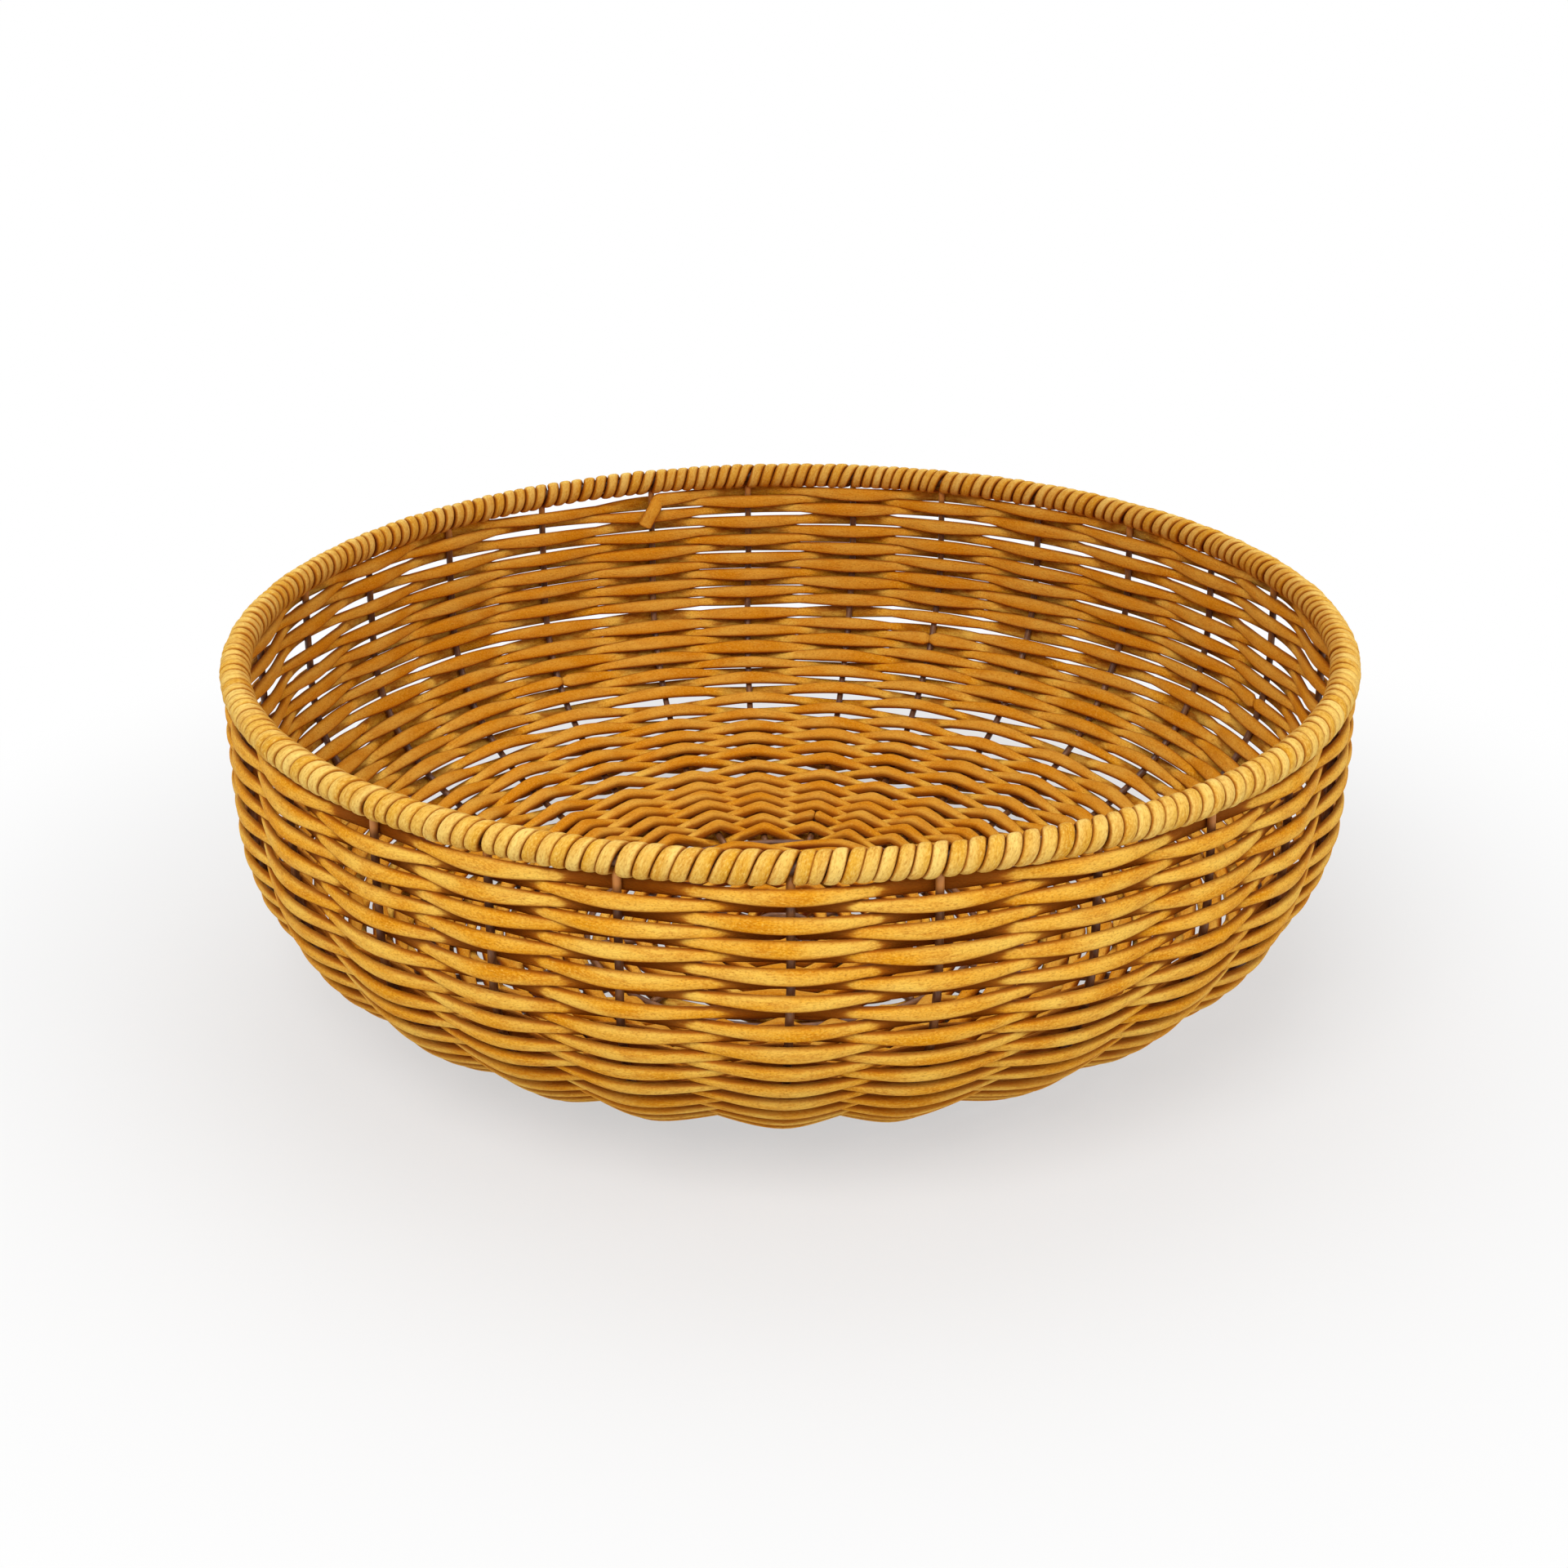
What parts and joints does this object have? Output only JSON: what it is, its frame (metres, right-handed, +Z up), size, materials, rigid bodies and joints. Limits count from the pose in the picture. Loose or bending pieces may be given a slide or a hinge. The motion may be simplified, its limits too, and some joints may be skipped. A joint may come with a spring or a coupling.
{
  "type": "fruit draining basket",
  "caption": "Round open bowl woven from strand over wire stakes, with a wound rim, for washing, draining and serving fruit.",
  "frame": {"origin": "on the surface that it stands on, under the middle of the bowl", "axes": "+Z up through the mouth; -Y towards the front stake, and +X to the right as seen from the front"},
  "size_m": [0.2255, 0.2255, 0.075],
  "materials": {
    "rim_strand": "matt straw-yellow strand with a fine grain along it",
    "weave_strand": "matt honey-brown strand with a fine grain along it",
    "wire": "brown painted steel wire, satin"
  },
  "bodies": {
    "root": {"rim_binding": "rim_strand", "floor_weaver": "weave_strand", "rim_hoop": "wire", "base_ring": "wire", "hub_ring": "wire", "spoke_1": "wire", "spoke_2": "wire", "spoke_3": "wire", "spoke_4": "wire", "spoke_5": "wire", "spoke_6": "wire", "spoke_7": "wire", "spoke_8": "wire", "spoke_9": "wire", "stake_01": "wire", "stake_02": "wire", "stake_03": "wire", "stake_04": "wire", "stake_05": "wire", "stake_06": "wire", "stake_07": "wire", "stake_08": "wire", "stake_09": "wire", "stake_10": "wire", "stake_11": "wire", "stake_12": "wire", "stake_13": "wire", "stake_14": "wire", "stake_15": "wire", "stake_16": "wire", "stake_17": "wire", "stake_18": "wire", "stake_19": "wire", "stake_20": "wire", "stake_21": "wire", "stake_22": "wire", "stake_23": "wire", "stake_24": "wire", "stake_25": "wire", "stake_26": "wire", "stake_27": "wire", "weaver_01": "weave_strand", "weaver_02": "weave_strand", "weaver_03": "weave_strand", "weaver_04": "weave_strand", "weaver_05": "weave_strand", "weaver_06": "weave_strand", "weaver_07": "weave_strand", "weaver_08": "weave_strand", "weaver_09": "weave_strand", "weaver_10": "weave_strand", "weaver_11": "weave_strand", "weaver_12": "weave_strand"}
  },
  "joints": []
}
